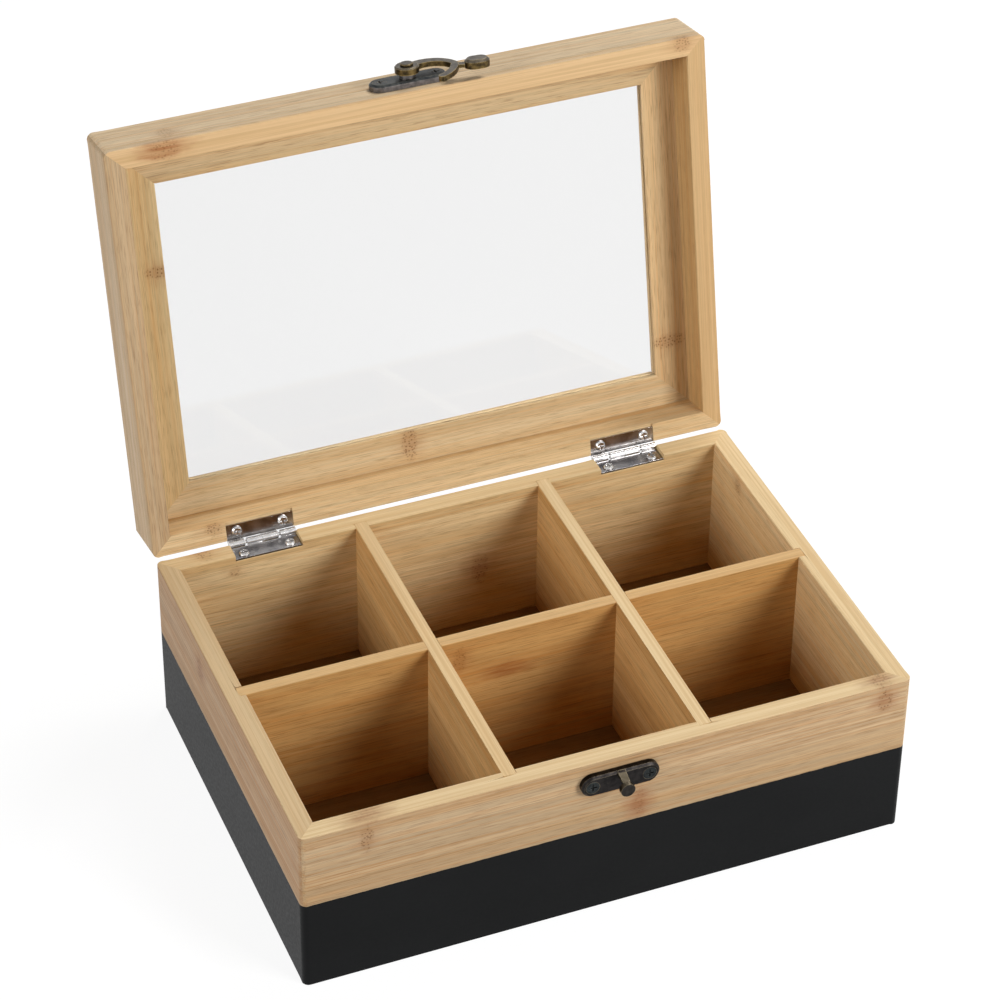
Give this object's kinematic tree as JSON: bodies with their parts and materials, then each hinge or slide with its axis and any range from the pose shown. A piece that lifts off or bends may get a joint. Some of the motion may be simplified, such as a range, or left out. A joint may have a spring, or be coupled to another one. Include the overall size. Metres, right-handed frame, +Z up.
{
  "type": "tea bag organizer box",
  "caption": "Wooden tea bag organizer box with a grid of compartments, a hinged window lid, knuckle hinges and a swing hook latch with a catch.",
  "frame": {"origin": "middle of the foot of the front wall, where the box stands on a table", "axes": "+X to the right across the width seen from the front, +Y to the hinged back, +Z up"},
  "size_m": [0.23, 0.2256, 0.2334],
  "materials": {
    "bamboo": "clear satin lacquer on caramel and natural bamboo",
    "bamboo_painted_foot": "clear satin lacquer above, satin black paint on the lower band of the outer faces",
    "nickel": "polished nickel plate",
    "bronze": "dark antique finish with brighter brass on the worn edges",
    "pane": "clear flat pane"
  },
  "bodies": {
    "box": {"front_wall": "bamboo_painted_foot", "back_wall": "bamboo_painted_foot", "left_wall": "bamboo_painted_foot", "right_wall": "bamboo_painted_foot", "bottom_panel": "bamboo", "long_divider": "bamboo", "cross_divider_left": "bamboo", "cross_divider_right": "bamboo", "hinge_left_body_leaf": "nickel", "hinge_left_pin": "nickel", "hinge_right_body_leaf": "nickel", "hinge_right_pin": "nickel", "hinge_body_screws": "nickel", "catch_plate": "bronze", "catch_screws": "bronze"},
    "lid": {"lid_front_wall": "bamboo", "lid_back_wall": "bamboo", "lid_left_wall": "bamboo", "lid_right_wall": "bamboo", "window_rail_front": "bamboo", "window_rail_back": "bamboo", "window_stile_left": "bamboo", "window_stile_right": "bamboo", "window_pane": "pane", "hinge_left_lid_leaf": "nickel", "hinge_right_lid_leaf": "nickel", "hinge_lid_screws": "nickel", "latch_plate": "bronze", "latch_rivet": "bronze", "latch_screws": "bronze"},
    "latch_hook": {"latch_hook": "bronze"}
  },
  "joints": [
    {"name": "lid_hinge", "type": "hinge", "parent": "box", "child": "lid", "pos_m": [0, 0.1573, 0.068], "axis": [1, 0, 0], "range_deg": [0, 101.8]},
    {"name": "hook_pivot", "type": "hinge", "parent": "lid", "child": "latch_hook", "pos_m": [0.0018, 0.20011, 0.22353], "axis": [0, -0.2045, -0.9789], "range_deg": [-116, 64]}
  ]
}
